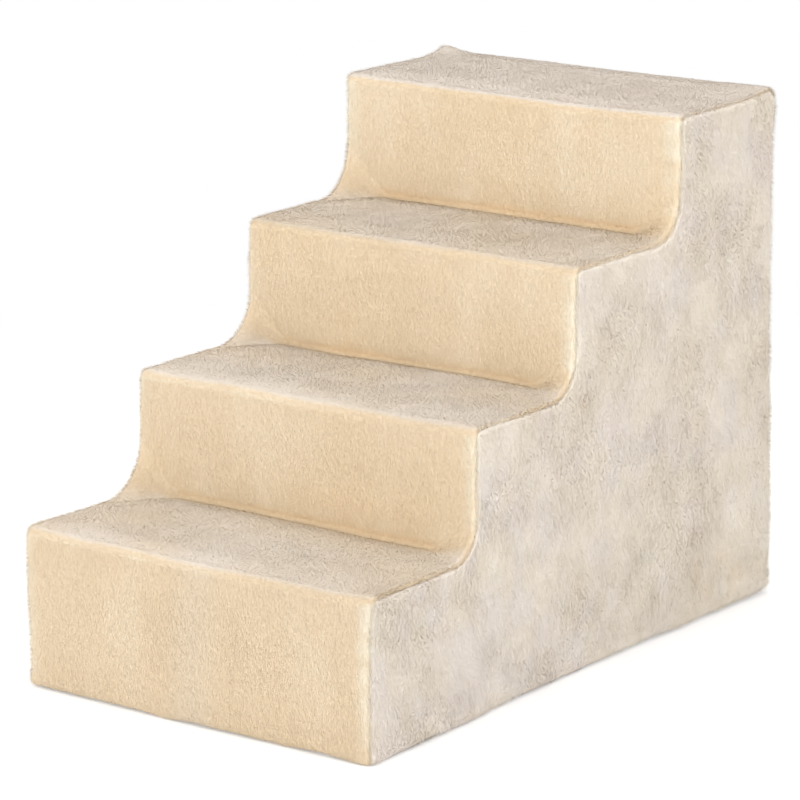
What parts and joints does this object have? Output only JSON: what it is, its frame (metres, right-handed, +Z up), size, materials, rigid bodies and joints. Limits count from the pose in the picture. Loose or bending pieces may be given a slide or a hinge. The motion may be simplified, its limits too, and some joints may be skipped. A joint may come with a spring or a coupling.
{
  "type": "pet stairs",
  "caption": "Free-standing plush-covered pet stairs: a stepped board carcass under a sewn slip cover with a zip up the back.",
  "frame": {"origin": "on the floor, under the middle of the stairs' outer box", "axes": "+Z up, +Y from the first riser to the back, +X across the width to the right of someone facing the first step"},
  "size_m": [0.432, 0.734, 0.56],
  "materials": {
    "plush_steps": "matte",
    "plush_sides": "matte",
    "plush_back": "matte",
    "foam": "matte",
    "board": "satin",
    "softwood": "matte",
    "hardboard": "satin",
    "brad_steel": "satin",
    "foot_rubber": "matte",
    "hem_tape": "matte",
    "hook_tape": "matte",
    "loop_tape": "matte",
    "zip_tape": "matte",
    "zip_plastic": "satin",
    "zip_metal": "satin"
  },
  "bodies": {
    "stairs": {"back_brads": "brad_steel", "back_panel": "hardboard", "cover_back_left": "plush_back", "cover_back_right": "plush_back", "cover_left_side": "plush_sides", "cover_right_side": "plush_sides", "cover_step_strip": "plush_steps", "foot_front_left": "foot_rubber", "foot_front_right": "foot_rubber", "foot_middle_left": "foot_rubber", "foot_middle_right": "foot_rubber", "foot_rear_left": "foot_rubber", "foot_rear_right": "foot_rubber", "front_base_rail": "softwood", "hem_facing_back": "hem_tape", "hem_facing_front": "hem_tape", "hem_facing_left": "hem_tape", "hem_facing_right": "hem_tape", "hook_tapes": "hook_tape", "left_base_rail": "softwood", "left_side_panel": "board", "loop_tapes": "loop_tape", "rear_base_rail": "softwood", "right_base_rail": "softwood", "right_side_panel": "board", "riser_board_1": "board", "riser_board_2": "board", "riser_board_3": "board", "riser_board_4": "board", "side_brads_left": "brad_steel", "side_brads_right": "brad_steel", "tread_board_1": "board", "tread_board_2": "board", "tread_board_3": "board", "tread_board_4": "board", "tread_pad_1": "foam", "tread_pad_2": "foam", "tread_pad_3": "foam", "tread_pad_4": "foam", "zip_lower_stops": "zip_plastic", "zip_tape_left": "zip_tape", "zip_tape_right": "zip_tape", "zip_teeth_left": "zip_plastic", "zip_teeth_right": "zip_plastic", "zip_upper_stop": "zip_plastic"},
    "zip_slider": {"zip_slider": "zip_metal"},
    "zip_pull_tab": {"zip_pull_tab": "zip_metal"}
  },
  "joints": [
    {"name": "zip_slide", "type": "slide", "parent": "stairs", "child": "zip_slider", "axis": [0, 0, 1], "range_m": [0, 0.368]},
    {"name": "zip_pull_hinge", "type": "hinge", "parent": "zip_slider", "child": "zip_pull_tab", "pos_m": [0, 0.365, 0.0492], "axis": [1, 0, 0], "range_deg": [0, 160]}
  ]
}
